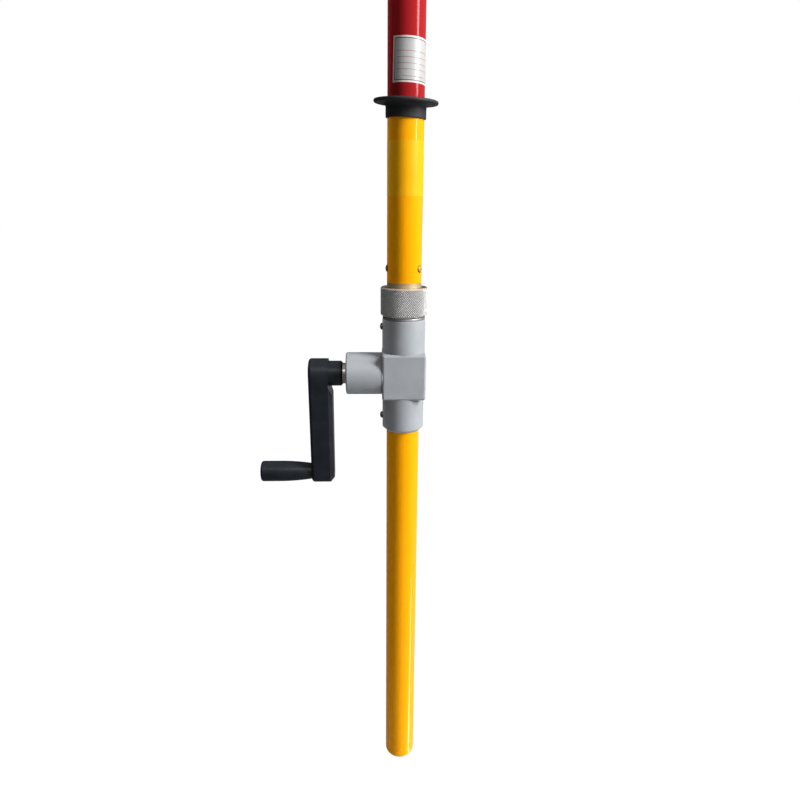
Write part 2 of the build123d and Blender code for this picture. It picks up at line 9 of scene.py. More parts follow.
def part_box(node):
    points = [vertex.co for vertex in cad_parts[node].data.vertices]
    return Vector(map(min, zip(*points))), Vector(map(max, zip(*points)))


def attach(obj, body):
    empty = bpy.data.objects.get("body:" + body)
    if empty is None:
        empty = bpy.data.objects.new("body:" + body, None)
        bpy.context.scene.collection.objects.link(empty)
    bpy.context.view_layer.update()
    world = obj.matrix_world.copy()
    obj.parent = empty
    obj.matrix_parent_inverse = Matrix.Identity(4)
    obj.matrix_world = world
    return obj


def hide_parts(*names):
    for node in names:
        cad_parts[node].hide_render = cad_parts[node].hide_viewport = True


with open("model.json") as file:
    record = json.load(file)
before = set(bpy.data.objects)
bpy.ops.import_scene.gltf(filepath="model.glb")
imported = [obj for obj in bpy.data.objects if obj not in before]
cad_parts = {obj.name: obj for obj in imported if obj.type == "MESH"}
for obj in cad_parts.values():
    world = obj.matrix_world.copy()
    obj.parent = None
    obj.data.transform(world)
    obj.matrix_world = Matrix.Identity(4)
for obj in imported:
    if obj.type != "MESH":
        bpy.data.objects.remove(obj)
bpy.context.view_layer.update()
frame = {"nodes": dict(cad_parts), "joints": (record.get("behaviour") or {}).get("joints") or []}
cadNodes = frame["nodes"]
scene = bpy.context.scene
scene.view_settings.view_transform = "Standard"
print("stage: frame loaded with", len(cadNodes), "nodes")

milli = 0.001
mergeGap = 1e-7  # metres
axisGap = 1e-6  # mm, the radius under which a ring is one point
sharpAngle = 28  # degrees past which an edge stays sharp


def boxMm(node):
    low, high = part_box(node)
    return [v / milli for v in low], [v / milli for v in high]


# sizes in mm that several pieces share
crankZ = frame["joints"][0]["pos_m"][2] / milli
tubeRadius = boxMm("insulating_tube")[1][0]
tubeBore = 13.0
tubeEdge = 0.3


# mesh helpers: everything is laid out in mm and written in metres
def linkObject(name, mesh):
    obj = bpy.data.objects.new(name, mesh)
    scene.collection.objects.link(obj)
    return obj


def emptyObject(name):
    return linkObject(name, bpy.data.meshes.new(name))


def meshObject(bm, name, sharpDegrees=sharpAngle):
    bmesh.ops.remove_doubles(bm, verts=bm.verts, dist=mergeGap)
    bmesh.ops.recalc_face_normals(bm, faces=bm.faces)
    mesh = bpy.data.meshes.new(name)
    bm.to_mesh(mesh)
    bm.free()
    mesh.shade_smooth()
    mesh.set_sharp_from_angle(angle=math.radians(sharpDegrees))
    return linkObject(name, mesh)


def rounded(points, steps=6):
    # (r, z) corners, or (r, z, radius) for a corner that is rounded off
    out = []
    count = len(points)
    for i, point in enumerate(points):
        here = Vector(point[:2])
        radius = point[2] if len(point) > 2 else 0
        if radius <= 0:
            out.append(tuple(here))
            continue
        before = (Vector(points[i - 1][:2]) - here).normalized()
        after = (Vector(points[(i + 1) % count][:2]) - here).normalized()
        half = before.angle(after) / 2
        reach = radius / math.tan(half)
        start, end = here + before * reach, here + after * reach
        centre = here + (before + after).normalized() * (radius / math.sin(half))
        a, b = start - centre, end - centre
        swing = a.angle_signed(b)
        for k in range(steps + 1):
            turn = -swing * k / steps
            c, s = math.cos(turn), math.sin(turn)
            out.append((centre.x + a.x * c - a.y * s, centre.y + a.x * s + a.y * c))
    return out


def lathe(name, outline, segments=128, shape=None):
    # a closed outline makes a hollow ring, and one that starts and ends on the axis a solid
    bm = bmesh.new()
    rings = []
    for r, z in outline:
        if r < axisGap:
            rings.append([bm.verts.new((0, 0, z * milli))])
            continue
        ring = []
        for k in range(segments):
            a = 2 * math.pi * k / segments
            spot = Vector((r * math.cos(a), r * math.sin(a), z))
            if shape:
                spot = shape(spot)
            ring.append(bm.verts.new(spot * milli))
        rings.append(ring)
    pairs = list(zip(rings, rings[1:]))
    if len(rings[0]) > 1:
        pairs.append((rings[-1], rings[0]))
    for a, b in pairs:
        for k in range(segments):
            j = (k + 1) % segments
            corners = [a[k % len(a)], a[j % len(a)], b[j % len(b)], b[k % len(b)]]
            corners = list(dict.fromkeys(corners))
            if len(corners) > 2:
                bm.faces.new(corners)
    return meshObject(bm, name)


def boxObject(name, size, middle, turn=0):
    bm = bmesh.new()
    bmesh.ops.create_cube(bm, size=1)
    spot = Matrix.Translation(Vector(middle) * milli) @ Matrix.Rotation(math.radians(turn), 4, "Z")
    bm.transform(spot @ Matrix.Diagonal((size[0] * milli, size[1] * milli, size[2] * milli, 1)))
    return meshObject(bm, name)


def plainMesh(obj, sharpDegrees=sharpAngle):
    bpy.context.view_layer.update()
    graph = bpy.context.evaluated_depsgraph_get()
    mesh = bpy.data.meshes.new_from_object(obj.evaluated_get(graph))
    obj.modifiers.clear()
    old = obj.data
    obj.data = mesh
    bpy.data.meshes.remove(old)
    mesh.name = obj.name
    mesh.shade_smooth()
    mesh.set_sharp_from_angle(angle=math.radians(sharpDegrees))
    return obj


def cutWith(obj, cutters):
    # takes the cutters out of a piece and keeps the result as a plain mesh
    for cutter in cutters:
        mod = obj.modifiers.new("cut", "BOOLEAN")
        mod.operation = "DIFFERENCE"
        mod.solver = "EXACT"
        mod.object = cutter
    plainMesh(obj)
    for cutter in cutters:
        bpy.data.objects.remove(cutter)
    return obj


# node tree helpers
def plug(tree, socket, value):
    if isinstance(value, bpy.types.NodeSocket):
        tree.links.new(value, socket)
    elif value is not None:
        socket.default_value = value


def calc(tree, operation, a, b=None, c=None):
    node = tree.nodes.new("ShaderNodeMath")
    node.operation = operation
    for socket, value in zip(node.inputs, (a, b, c)):
        plug(tree, socket, value)
    return node.outputs[0]


def combine(tree, x, y, z):
    node = tree.nodes.new("ShaderNodeCombineXYZ")
    for socket, value in zip(node.inputs, (x, y, z)):
        plug(tree, socket, value)
    return node.outputs[0]


def splitVector(tree, vector):
    node = tree.nodes.new("ShaderNodeSeparateXYZ")
    tree.links.new(vector, node.inputs[0])
    return node.outputs


def geoNode(tree, kind, **values):
    node = tree.nodes.new(kind)
    for label, value in values.items():
        plug(tree, node.inputs[label.replace("_", " ")], value)
    return node


def startTree(name, inputs):
    tree = bpy.data.node_groups.new(name, "GeometryNodeTree")
    tree.interface.new_socket("Geometry", in_out="INPUT", socket_type="NodeSocketGeometry")
    for label, value in inputs.items():
        kind = "NodeSocketInt" if isinstance(value, int) else "NodeSocketFloat"
        tree.interface.new_socket(label, in_out="INPUT", socket_type=kind).default_value = value
    tree.interface.new_socket("Geometry", in_out="OUTPUT", socket_type="NodeSocketGeometry")
    return tree, tree.nodes.new("NodeGroupInput").outputs


def endTree(tree, parts, finish):
    join = tree.nodes.new("GeometryNodeJoinGeometry")
    for part in parts:
        tree.links.new(part, join.inputs[0])
    real = geoNode(tree, "GeometryNodeRealizeInstances", Geometry=join.outputs[0])
    coat = geoNode(tree, "GeometryNodeSetMaterial", Geometry=real.outputs[0], Material=finish)
    tree.links.new(coat.outputs[0], tree.nodes.new("NodeGroupOutput").inputs[0])


def growNodes(obj, tree, sizes, sharpDegrees=sharpAngle):
    mod = obj.modifiers.new(tree.name, "NODES")
    mod.node_group = tree
    for item in tree.interface.items_tree:
        if item.in_out == "INPUT" and item.name in sizes:
            mod[item.identifier] = sizes[item.name]
    return plainMesh(obj, sharpDegrees)


def polar(tree, radius, angle, height):
    x = calc(tree, "MULTIPLY", radius, calc(tree, "COSINE", angle))
    y = calc(tree, "MULTIPLY", radius, calc(tree, "SINE", angle))
    return combine(tree, x, y, height)


# finish helpers: a noise is given as its squeeze in x, y and z, its size, its detail and its range
even = (1, 1, 1)
roundZ, roundX, loose = (0.02, 0.02, 1), (1, 0.02, 0.02), (0.3, 0.3, 0.3)  # tool marks
firstColour, secondColour, mixedColour = 6, 7, 2  # sockets of a colour mix


def startFinish(name):
    mat = bpy.data.materials.new(name)
    mat.use_nodes = True
    return mat, mat.node_tree, mat.node_tree.nodes["Principled BSDF"]


def objectSpace(tree, scale):
    coords = tree.nodes.new("ShaderNodeTexCoord")
    mapping = tree.nodes.new("ShaderNodeMapping")
    mapping.inputs["Scale"].default_value = scale
    tree.links.new(coords.outputs["Object"], mapping.inputs["Vector"])
    return mapping.outputs["Vector"]


def mapValue(tree, factor, low, high, given=(0, 1)):
    spread = tree.nodes.new("ShaderNodeMapRange")
    spread.inputs["From Min"].default_value = given[0]
    spread.inputs["From Max"].default_value = given[1]
    spread.inputs["To Min"].default_value = low
    spread.inputs["To Max"].default_value = high
    tree.links.new(factor, spread.inputs["Value"])
    return spread.outputs["Result"]


def noiseFactor(tree, scale, size, detail, given=(0.35, 0.65)):
    noise = tree.nodes.new("ShaderNodeTexNoise")
    noise.inputs["Scale"].default_value = size
    noise.inputs["Detail"].default_value = detail
    tree.links.new(objectSpace(tree, scale), noise.inputs["Vector"])
    return mapValue(tree, noise.outputs["Fac"], 0, 1, given)


def tint(colour, share):
    return tuple(c * share for c in colour)


def mixColour(tree, factor, a, b):
    mix = tree.nodes.new("ShaderNodeMix")
    mix.data_type = "RGBA"
    plug(tree, mix.inputs["Factor"], factor)
    plug(tree, mix.inputs[firstColour], (*a, 1) if isinstance(a, tuple) else a)
    plug(tree, mix.inputs[secondColour], (*b, 1) if isinstance(b, tuple) else b)
    return mix.outputs[mixedColour]


def mixTints(tree, factor, colour, shares):
    return mixColour(tree, factor, tint(colour, shares[0]), tint(colour, shares[1]))


def shadeOver(tree, factor, under, colour, strength, share):
    # a darker tint of the colour, laid over what is there as strongly as the factor says
    return mixColour(tree, calc(tree, "MULTIPLY", factor, strength), under, tint(colour, share))


def roughen(tree, shader, factor, rough, spread):
    tree.links.new(mapValue(tree, factor, rough, rough + spread), shader.inputs["Roughness"])


def addBump(tree, shader, height, distance, strength):
    bump = tree.nodes.new("ShaderNodeBump")
    bump.inputs["Distance"].default_value = distance * milli
    bump.inputs["Strength"].default_value = strength
    tree.links.new(height, bump.inputs["Height"])
    tree.links.new(bump.outputs["Normal"], shader.inputs["Normal"])


def stripe(tree, value, middle, half):
    # 1 inside a band of the given half width, and 0 outside it
    return calc(tree, "LESS_THAN", calc(tree, "ABSOLUTE", calc(tree, "SUBTRACT", value, middle)), half)


# finishes
fibre = {"streak": ((1, 1, 0.012), 900, 4), "cloud": ((1, 1, 0.35), 38, 2), "tints": (0.95, 1.03),
         "clouded": (0.25, 0.9), "spread": 0.07, "bump": (0.004, 0.2)}


def fibreFinish(name, spec):
    # pigmented glass fibre: faint streaks along the tube and a slightly uneven gloss
    mat, tree, shader = startFinish(name)
    streak = noiseFactor(tree, *fibre["streak"])
    cloud = noiseFactor(tree, *fibre["cloud"])
    colour = mixTints(tree, streak, spec["colour"], fibre["tints"])
    colour = shadeOver(tree, cloud, colour, spec["colour"], *fibre["clouded"])
    tree.links.new(colour, shader.inputs["Base Color"])
    roughen(tree, shader, cloud, spec["rough"], fibre["spread"])
    shader.inputs["Specular IOR Level"].default_value = spec["gloss"]
    addBump(tree, shader, streak, *fibre["bump"])
    return mat


sprayed = {"peel": (even, 620, 3), "cloud": (even, 55, 3), "speck": (even, 1500, 1, (0.72, 0.78)),
           "tints": (0.95, 1.04), "specked": (0.35, 0.6), "paintedCornerShade": (0.8, 0.25), "waver": 0.3, "spread": 0.1,
           "bump": (0.03, 0.45)}


def paintFinish(name, spec):
    # sprayed paint on a casting: fine orange peel, a few specks, and a painted shade line along one corner where the
    # block's edge shadows the boss
    mat, tree, shader = startFinish(name)
    peel = noiseFactor(tree, *sprayed["peel"])
    cloud = noiseFactor(tree, *sprayed["cloud"])
    speck = noiseFactor(tree, *sprayed["speck"])
    colour = mixTints(tree, cloud, spec["colour"], sprayed["tints"])
    colour = shadeOver(tree, speck, colour, spec["colour"], *sprayed["specked"])
    # painted shade line: a wavering band across x, darkened as if the block's edge shadowed the boss there
    across = splitVector(tree, objectSpace(tree, even))[0]
    edge = calc(tree, "MULTIPLY_ADD", peel, sprayed["waver"] * milli, across)
    corner = stripe(tree, edge, spec["corner"] * milli, spec["cornerHalf"] * milli)
    colour = shadeOver(tree, corner, colour, spec["colour"], *sprayed["paintedCornerShade"])
    tree.links.new(colour, shader.inputs["Base Color"])
    roughen(tree, shader, cloud, spec["rough"], sprayed["spread"])
    shader.inputs["Specular IOR Level"].default_value = spec["gloss"]
    addBump(tree, shader, peel, *sprayed["bump"])
    return mat


moulded = {"grainDetail": 2, "cloud": (even, 70, 3), "tints": (0.85, 1.15), "spread": 0.12, "bumpStrength": 0.5}


def mouldedFinish(name, spec):
    # moulded plastic or rubber: fine grain and a slightly uneven sheen
    mat, tree, shader = startFinish(name)
    grain = noiseFactor(tree, even, spec["grain"], moulded["grainDetail"])
    cloud = noiseFactor(tree, *moulded["cloud"])
    tree.links.new(mixTints(tree, cloud, spec["colour"], moulded["tints"]), shader.inputs["Base Color"])
    roughen(tree, shader, cloud, spec["rough"], moulded["spread"])
    shader.inputs["Specular IOR Level"].default_value = spec["gloss"]
    addBump(tree, shader, grain, spec["depth"], moulded["bumpStrength"])
    return mat


machined = {"markGrain": (1500, 2), "cloud": (even, 90, 3), "tints": (0.88, 1.0), "spread": 0.12, "bump": (0.01, 0.35)}


def turnedFinish(name, spec):
    # machined metal: fine tool marks round the axis, given by which way the marks are squeezed
    mat, tree, shader = startFinish(name)
    marks = noiseFactor(tree, spec["marks"], *machined["markGrain"])
    cloud = noiseFactor(tree, *machined["cloud"])
    tree.links.new(mixTints(tree, cloud, spec["colour"], machined["tints"]), shader.inputs["Base Color"])
    roughen(tree, shader, marks, spec["rough"], machined["spread"])
    shader.inputs["Metallic"].default_value = spec.get("metal", 1.0)
    addBump(tree, shader, marks, *machined["bump"])
    return mat


crested = {"cloud": (even, 120, 3), "marks": (roundZ, 2200, 2), "spread": 0.12, "bump": (0.01, 0.3)}


def crestFinish(name, spec):
    # bare metal with painted shade: darker near the stick's axis, down in grooves and round the foot of a head, than
    # on its crests
    mat, tree, shader = startFinish(name)
    x, y = splitVector(tree, objectSpace(tree, even))[:2]
    radius = calc(tree, "SQRT", calc(tree, "ADD", calc(tree, "MULTIPLY", x, x), calc(tree, "MULTIPLY", y, y)))
    rise = mapValue(tree, radius, 0, 1, (spec["groove"] * milli, spec["crest"] * milli))
    # painted shade: the colour falls off towards the groove depth
    tree.links.new(mixTints(tree, rise, spec["colour"], (spec["recessShade"], 1.0)), shader.inputs["Base Color"])
    roughen(tree, shader, noiseFactor(tree, *crested["cloud"]), spec["rough"], crested["spread"])
    shader.inputs["Metallic"].default_value = spec["metal"]
    addBump(tree, shader, noiseFactor(tree, *crested["marks"]), *crested["bump"])
    return mat


film = {"unit": 100, "cloud": (even, 60, 3), "tints": (0.96, 1.0), "spread": 0.08}  # mm to one unit of UV


def edgeGap(tree, value, span, inset):
    # how far inside a frame line a point lies, along one direction
    middle = span / 2
    off = calc(tree, "ABSOLUTE", calc(tree, "SUBTRACT", value, middle))
    return calc(tree, "SUBTRACT", middle - inset, off)


def labelFinish(name, spec):
    # printed film, with a frame line and empty rules where spec gives them
    mat, tree, shader = startFinish(name)
    uv = tree.nodes.new("ShaderNodeUVMap")
    uv.uv_map = "wrap"
    split = splitVector(tree, uv.outputs[0])
    u = calc(tree, "MULTIPLY", split[0], film["unit"])
    v = calc(tree, "MULTIPLY", split[1], film["unit"])
    cloud = noiseFactor(tree, *film["cloud"])
    colour = mixTints(tree, cloud, spec["colour"], film["tints"])
    if spec.get("frame"):
        wide, tall, inset, line = spec["frame"]
        inside = calc(tree, "MINIMUM", edgeGap(tree, u, wide, inset), edgeGap(tree, v, tall, inset))
        colour = mixColour(tree, calc(tree, "GREATER_THAN", inside, 0.0), colour, spec["field"])
        colour = mixColour(tree, stripe(tree, inside, 0.0, line), colour, spec["ink"])
        for height, left, right in spec["rules"]:
            along = stripe(tree, u, (left + right) / 2, (right - left) / 2)
            rule = calc(tree, "MULTIPLY", stripe(tree, v, height, spec["ruleHalf"]), along)
            colour = mixColour(tree, rule, colour, spec["rule"])
    tree.links.new(colour, shader.inputs["Base Color"])
    roughen(tree, shader, cloud, spec["rough"], film["spread"])
    shader.inputs["Specular IOR Level"].default_value = spec["gloss"]
    return mat


finishKinds = [
    (fibreFinish, {
        "yellowTube": {"colour": (0.99, 0.39, 0.0), "rough": 0.1, "gloss": 0.12},
        "redTube": {"colour": (0.38, 0.008, 0.010), "rough": 0.1, "gloss": 0.2},
        "bareFibre": {"colour": (0.55, 0.50, 0.34), "rough": 0.35, "gloss": 0.4},
    }),
    (paintFinish, {
        # the corner entries place the painted shade line next to the block, where its edge shadows the boss
        "greyPaint": {"colour": (0.345, 0.364, 0.384), "rough": 0.4, "gloss": 0.45, "corner": -21.15,
                      "cornerHalf": 0.45},
    }),
    (mouldedFinish, {
        "blackPlastic": {"colour": (0.008, 0.011, 0.016), "rough": 0.34, "gloss": 0.26, "grain": 1400, "depth": 0.02},
        "blackRubber": {"colour": (0.013, 0.014, 0.016), "rough": 0.6, "gloss": 0.3, "grain": 900, "depth": 0.03},
        "nylon": {"colour": (0.78, 0.76, 0.70), "rough": 0.5, "gloss": 0.4, "grain": 600, "depth": 0.02},
        "blackScrew": {"colour": (0.03, 0.03, 0.033), "rough": 0.22, "gloss": 0.8, "grain": 1200, "depth": 0.01},
    }),
    (turnedFinish, {
        "turnedZ": {"colour": (0.48, 0.48, 0.48), "rough": 0.34, "marks": roundZ},
        # the warm tint of the nut's upper rim and top face is painted reflection of the yellow tube standing above
        # them
        "polished": {"colour": (0.60, 0.51, 0.43), "rough": 0.3, "metal": 0.3, "marks": roundZ},
        "lowerRim": {"colour": (0.52, 0.52, 0.53), "rough": 0.3, "metal": 0.3, "marks": roundZ},
        "facedTop": {"colour": (0.62, 0.55, 0.47), "rough": 0.22, "marks": loose},
        "turnedX": {"colour": (0.34, 0.33, 0.31), "rough": 0.28, "marks": roundX},
        # the ferrule is bare aluminium; its warm tint is painted reflection of the yellow tube above it
        "warmAlloy": {"colour": (0.42, 0.33, 0.185), "rough": 0.46, "metal": 0.55, "marks": roundZ},
        "steel": {"colour": (0.52, 0.52, 0.53), "rough": 0.3, "marks": loose},
        "springSteel": {"colour": (0.16, 0.16, 0.17), "rough": 0.35, "marks": loose},
        "bronze": {"colour": (0.55, 0.34, 0.13), "rough": 0.32, "marks": loose},
    }),
    (crestFinish, {
        # rivet heads: painted shade round their foot, and a warm tint that is painted reflection of the yellow tube in
        # the bare metal
        "rivetBrass": {"colour": (0.50, 0.29, 0.04), "rough": 0.5, "recessShade": 0.04, "metal": 0.4,
                       "groove": tubeRadius + 0.4, "crest": tubeRadius + 1.15},
    }),
]
finishes = {name: make(name, spec) for make, specs in finishKinds for name, spec in specs.items()}
print("stage: finishes made,", len(finishes))


def paint(obj, finish):
    mat = finishes[finish] if isinstance(finish, str) else finish
    obj.data.materials.clear()
    obj.data.materials.append(mat)
    return obj


def place(obj, body, slot, *replaced):
    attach(obj, body)
    if replaced:
        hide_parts(*replaced)
    return obj


# tubes
lowerGrip = {"turnedRadius": 15.75, "turnedLength": 34.5, "edge": 0.15}
low, high = boxMm("lower_grip_tube")
shoulder = high[2] - lowerGrip["turnedLength"]
piece = lathe("lowerGripTube", rounded([
    (tubeBore, low[2]), (tubeRadius, low[2], lowerGrip["edge"]), (tubeRadius, shoulder),
    (lowerGrip["turnedRadius"], shoulder), (lowerGrip["turnedRadius"], high[2]), (tubeBore, high[2]),
]))
place(paint(piece, "yellowTube"), "stick", "yellow_tube", "lower_grip_tube")

buttPlug = {"edge": 5.0, "lip": 9.0, "lipEdge": 0.15, "stem": 12.95, "wall": 2.0}
top = boxMm("butt_plug")[1][2]
lip, stem = buttPlug["lip"], buttPlug["stem"]
hollow = stem - buttPlug["wall"]
piece = lathe("buttPlug", rounded([
    (0, 0), (tubeRadius, 0, buttPlug["edge"]), (tubeRadius, lip, buttPlug["lipEdge"]), (stem, lip), (stem, top),
    (hollow, top), (hollow, lip), (0, lip),
], steps=12))
place(paint(piece, "yellowTube"), "stick", "yellow_plastic", "butt_plug")

for name, node, finish, slot in (("upperGripTube", "upper_grip_tube", "yellowTube", "yellow_tube"),
                                 ("insulatingTube", "insulating_tube", "redTube", "red_tube")):
    low, high = boxMm(node)
    piece = lathe(name, rounded([
        (tubeBore, low[2]), (tubeRadius, low[2], tubeEdge), (tubeRadius, high[2], tubeEdge), (tubeBore, high[2]),
    ]))
    place(paint(piece, finish), "stick", slot, node)
print("stage: tubes")

# hand guard: the rubber sits a little askew, lower on the right and in front
handGuard = {"bore": 16.1, "collar": 17.6, "collarLength": 11.5, "collarEdge": 0.5, "root": 3.5, "flange": 27.99,
             "thick": 3.0, "flat": 0.02, "lead": (1.2, 0.4), "skew": (2.0, 2.6), "drop": 0.9}
low = boxMm("hand_guard")[0]
under = low[2] + handGuard["collarLength"]
over = under + handGuard["thick"]
rim = handGuard["thick"] / 2 - handGuard["flat"]


def skewed(p):
    right, front = [math.tan(math.radians(v)) for v in handGuard["skew"]]
    return Vector((p.x, p.y, p.z - handGuard["drop"] - p.x * right + p.y * front))


piece = lathe("handGuard", rounded([
    (handGuard["bore"], low[2]), (handGuard["collar"], low[2], handGuard["collarEdge"]),
    (handGuard["collar"], under, handGuard["root"]),
    (handGuard["flange"], under, rim), (handGuard["flange"], over, rim),
    (handGuard["bore"] + handGuard["lead"][0], over), (handGuard["bore"], over - handGuard["lead"][1]),
], steps=10), shape=skewed)
place(paint(piece, "blackRubber"), "stick", "black_rubber", "hand_guard")
print("stage: hand guard")

# union nut with its diamond knurl between two plain rims
couplingNut = {"radius": 21.95, "bore": 18.1, "lipBore": 16.3, "lip": 1.8, "chamferIn": 2.8, "chamferUp": 1.9,
               "rim": 0.9, "edge": 0.2, "bandGaps": (0.1, 0.35), "lowStep": (0.05, 0.15), "topStep": (0.03, 0.1),
               "knurlDepth": 0.4, "around": 66, "stretch": 1.04, "ends": (0.3, 0.15), "cell": 0.45, "crest": 0.16,
               "sharp": 20, "slack": 0.01, "level": 0.9, "darkBelow": 0.02}
low, high = boxMm("coupling_nut")
outer, bore, edge = couplingNut["radius"], couplingNut["bore"], couplingNut["edge"]
groove = outer - couplingNut["knurlDepth"]
# the knurl's grooves are darkened as painted shade, and its crests keep the full colour
finishes["knurled"] = crestFinish("knurled", {
    "colour": (0.67, 0.66, 0.655), "rough": 0.5, "recessShade": 0.08, "metal": 0.25,
    "groove": groove - couplingNut["darkBelow"], "crest": outer})
rimZ, lipZ = high[2] - couplingNut["rim"], high[2] - couplingNut["lip"]
bandLow = low[2] + couplingNut["chamferUp"] + couplingNut["bandGaps"][0]
bandHigh = rimZ - couplingNut["bandGaps"][1]
lowIn, lowDrop = couplingNut["lowStep"]
topIn, topRise = couplingNut["topStep"]
nutPiece = lathe("couplingNut", rounded([
    (bore, low[2]), (outer - couplingNut["chamferIn"], low[2], edge),
    (outer - lowIn, bandLow - lowDrop), (groove, bandLow), (groove, bandHigh),
    (outer - topIn, bandHigh + topRise), (outer - topIn, rimZ), (outer - couplingNut["rim"], high[2], edge),
    (couplingNut["lipBore"], high[2], edge), (couplingNut["lipBore"], lipZ), (bore, lipZ),
], steps=4), segments=160)


def knurlTree(finish):
    tree, given = startTree("diamondKnurl", {
        "Around": 70, "Rows": 24, "Radius": 0.021, "Low": 0.5, "Depth": 0.0004, "Stretch": 1.0, "Cell": 0.5,
        "Crest": 0.1})
    turn = calc(tree, "DIVIDE", 2 * math.pi, given["Around"])
    pitch = calc(tree, "MULTIPLY", turn, given["Radius"])
    index = tree.nodes.new("GeometryNodeInputIndex").outputs[0]
    row = calc(tree, "FLOOR", calc(tree, "DIVIDE", index, given["Around"]))
    column = calc(tree, "MODULO", index, given["Around"])
    stagger = calc(tree, "MULTIPLY", calc(tree, "MODULO", row, 2.0), 0.5)
    angle = calc(tree, "MULTIPLY", calc(tree, "ADD", column, stagger), turn)
    rowStep = calc(tree, "MULTIPLY", calc(tree, "MULTIPLY", pitch, 0.5), given["Stretch"])
    height = calc(tree, "ADD", given["Low"], calc(tree, "MULTIPLY", row, rowStep))
    dots = geoNode(tree, "GeometryNodePoints", Count=calc(tree, "MULTIPLY", given["Around"], given["Rows"]),
                   Position=polar(tree, given["Radius"], angle, height))
    stud = geoNode(tree, "GeometryNodeMeshCone", Vertices=4, Depth=given["Depth"],
                   Radius_Bottom=calc(tree, "MULTIPLY", pitch, given["Cell"]),
                   Radius_Top=calc(tree, "MULTIPLY", pitch, given["Crest"]))
    studs = geoNode(tree, "GeometryNodeInstanceOnPoints", Points=dots.outputs[0], Instance=stud.outputs[0],
                    Rotation=combine(tree, 0.0, math.pi / 2, angle), Scale=combine(tree, given["Stretch"], 1.0, 1.0))
    endTree(tree, [given["Geometry"], studs.outputs[0]], finish)
    return tree


knurlPitch = 2 * math.pi * groove / couplingNut["around"]
knurlLow = bandLow + couplingNut["ends"][0] * knurlPitch
knurlTop = bandHigh - couplingNut["ends"][1] * knurlPitch
knurlRows = round((knurlTop - knurlLow) / (knurlPitch / 2 * couplingNut["stretch"])) + 1
knurlStretch = (knurlTop - knurlLow) / ((knurlRows - 1) * knurlPitch / 2)  # so that the rows fill the band
growNodes(nutPiece, knurlTree(finishes["knurled"]), {
    "Around": couplingNut["around"], "Rows": knurlRows, "Radius": groove * milli,
    "Low": knurlLow * milli, "Depth": couplingNut["knurlDepth"] * milli,
    "Stretch": knurlStretch, "Cell": couplingNut["cell"], "Crest": couplingNut["crest"],
}, sharpDegrees=couplingNut["sharp"])
plainSlot = len(nutPiece.data.materials)
for finish in ("lowerRim", "polished", "facedTop"):  # the plain rims below and above the knurl, and the top
    nutPiece.data.materials.append(finishes[finish])
for face in nutPiece.data.polygons:
    height = face.center.z / milli
    if height < bandLow - couplingNut["slack"]:
        face.material_index = plainSlot
    elif height > bandHigh + couplingNut["slack"]:
        face.material_index = plainSlot + (2 if face.normal.z > couplingNut["level"] else 1)
place(nutPiece, "union_nut", "aluminium", "coupling_nut")
print("stage: union nut,", len(nutPiece.data.polygons), "faces")


# threaded spigots of the union joint and of the far end
def threadTree(finish):
    tree, given = startTree("roundThread", {
        "Radius": 0.0173, "Low": 0.5, "Height": 0.02, "Pitch": 0.0015, "Bead": 0.0005})
    turns = calc(tree, "DIVIDE", given["Height"], given["Pitch"])
    helix = geoNode(tree, "GeometryNodeCurveSpiral", Resolution=72, Rotations=turns, Start_Radius=given["Radius"],
                    End_Radius=given["Radius"], Height=given["Height"])
    lifted = geoNode(tree, "GeometryNodeTransform", Geometry=helix.outputs[0],
                     Translation=combine(tree, 0.0, 0.0, given["Low"]))
    bead = geoNode(tree, "GeometryNodeCurvePrimitiveCircle", Resolution=8, Radius=given["Bead"])
    ridge = geoNode(tree, "GeometryNodeCurveToMesh", Curve=lifted.outputs[0], Profile_Curve=bead.outputs[0],
                    Fill_Caps=True)
    endTree(tree, [given["Geometry"], ridge.outputs[0]], finish)
    return tree


spigot = {"flange": 20.0, "flangeThick": 2.2, "flangeEdge": 0.35, "core": 17.2, "coreEdge": 0.5, "crest": 18.0,
          "recess": 11.11, "recessEdge": 0.3, "recessDepth": 10.0, "bore": 8.11, "pitch": 1.5, "bead": 0.55,
          "runout": 0.8, "slot": (6.4, 60, 2.6), "nutGap": 0.3, "jointStem": 16.95, "topBore": 10.96, "topStem": 12.95}
threads = threadTree(finishes["turnedZ"])


def spigotPiece(name, node, flangeZ, lowerPart):
    top = boxMm(node)[1][2]
    threadLow = flangeZ + spigot["flangeThick"]
    floorZ = top - spigot["recessDepth"]
    slotWide, slotLong, slotDeep = spigot["slot"]
    body = lathe(name, rounded(lowerPart + [
        (spigot["flange"], flangeZ, spigot["flangeEdge"]), (spigot["flange"], threadLow, spigot["flangeEdge"]),
        (spigot["core"], threadLow), (spigot["core"], top, spigot["coreEdge"]),
        (spigot["recess"], top, spigot["recessEdge"]), (spigot["recess"], floorZ), (spigot["bore"], floorZ),
    ], steps=4))
    cutWith(body, [boxObject("slotCutter", (slotWide, slotLong, 2 * slotDeep), (0, 0, top))])
    growNodes(body, threads, {
        "Radius": (spigot["crest"] - spigot["bead"]) * milli, "Low": (threadLow + spigot["runout"]) * milli,
        "Height": (top - threadLow - 2 * spigot["runout"] - slotDeep) * milli,
        "Pitch": spigot["pitch"] * milli, "Bead": spigot["bead"] * milli,
    })
    return place(body, "stick", "aluminium", node)


bottom = boxMm("joint_spigot")[0][2]
flangeZ = boxMm("coupling_nut")[0][2] - spigot["nutGap"] - spigot["flangeThick"]
spigotPiece("jointSpigot", "joint_spigot", flangeZ, [
    (spigot["bore"], bottom), (spigot["jointStem"], bottom), (spigot["jointStem"], flangeZ)])
bottom = boxMm("top_spigot")[0][2]
flangeZ = boxMm("insulating_tube")[1][2]
spigotPiece("topSpigot", "top_spigot", flangeZ, [
    (spigot["bore"], flangeZ + spigot["flangeThick"]), (spigot["topBore"], flangeZ + spigot["flangeThick"]),
    (spigot["topBore"], bottom), (spigot["topStem"], bottom), (spigot["topStem"], flangeZ)])
print("stage: threaded spigots")


